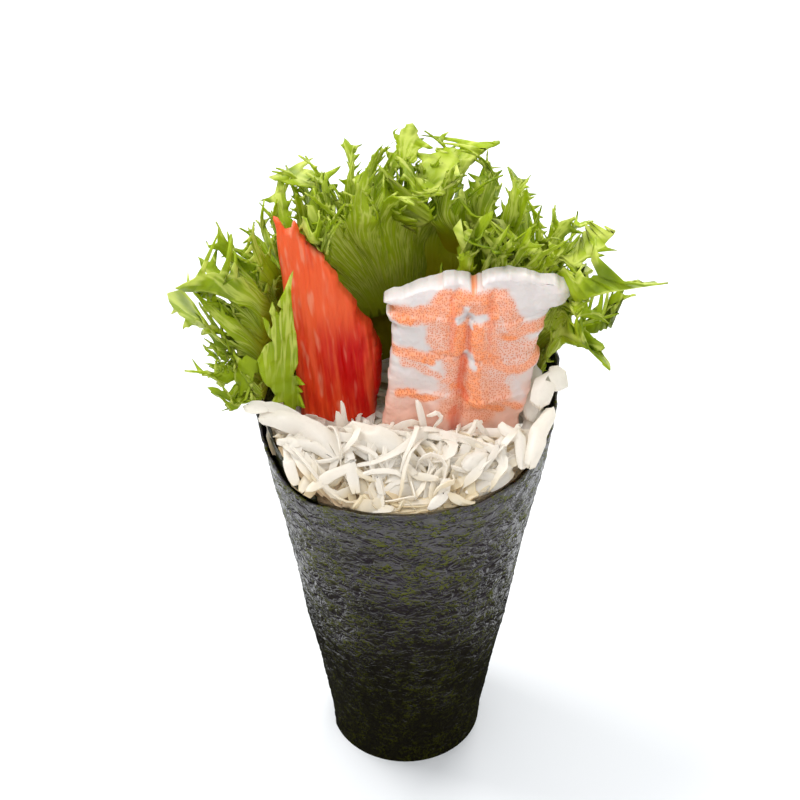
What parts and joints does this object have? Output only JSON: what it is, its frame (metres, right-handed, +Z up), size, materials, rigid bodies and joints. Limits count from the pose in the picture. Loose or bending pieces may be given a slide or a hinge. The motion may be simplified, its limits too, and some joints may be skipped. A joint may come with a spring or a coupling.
{
  "type": "temaki hand roll",
  "caption": "Hand-rolled sushi cone of nori that stands on its folded foot, filled with shredded cabbage, frilly lettuce, crab stick and a butterflied shrimp.",
  "frame": {"origin": "centre of the foot, on the surface that the roll stands on", "axes": "+Z up along the cone, -Y towards the open front, +X to the right of someone facing the front"},
  "size_m": [0.075, 0.0552, 0.1178],
  "materials": {
    "nori": "crinkled, dark green-black, half gloss on the ridges",
    "cabbage": "moist, cream white, slightly translucent",
    "crab_meat": "moist orange-red fibres with paler streaks",
    "shrimp_meat": "moist, translucent white with dotted orange bands",
    "lettuce": "bright yellow-green, waxy, light shows through"
  },
  "bodies": {
    "root": {"nori_wrap": "nori", "cabbage_heap": "cabbage", "crab_stick": "crab_meat", "shrimp": "shrimp_meat", "lettuce_leaf": "lettuce", "lettuce_right": "lettuce", "lettuce_left": "lettuce", "lettuce_front": "lettuce"}
  },
  "joints": []
}
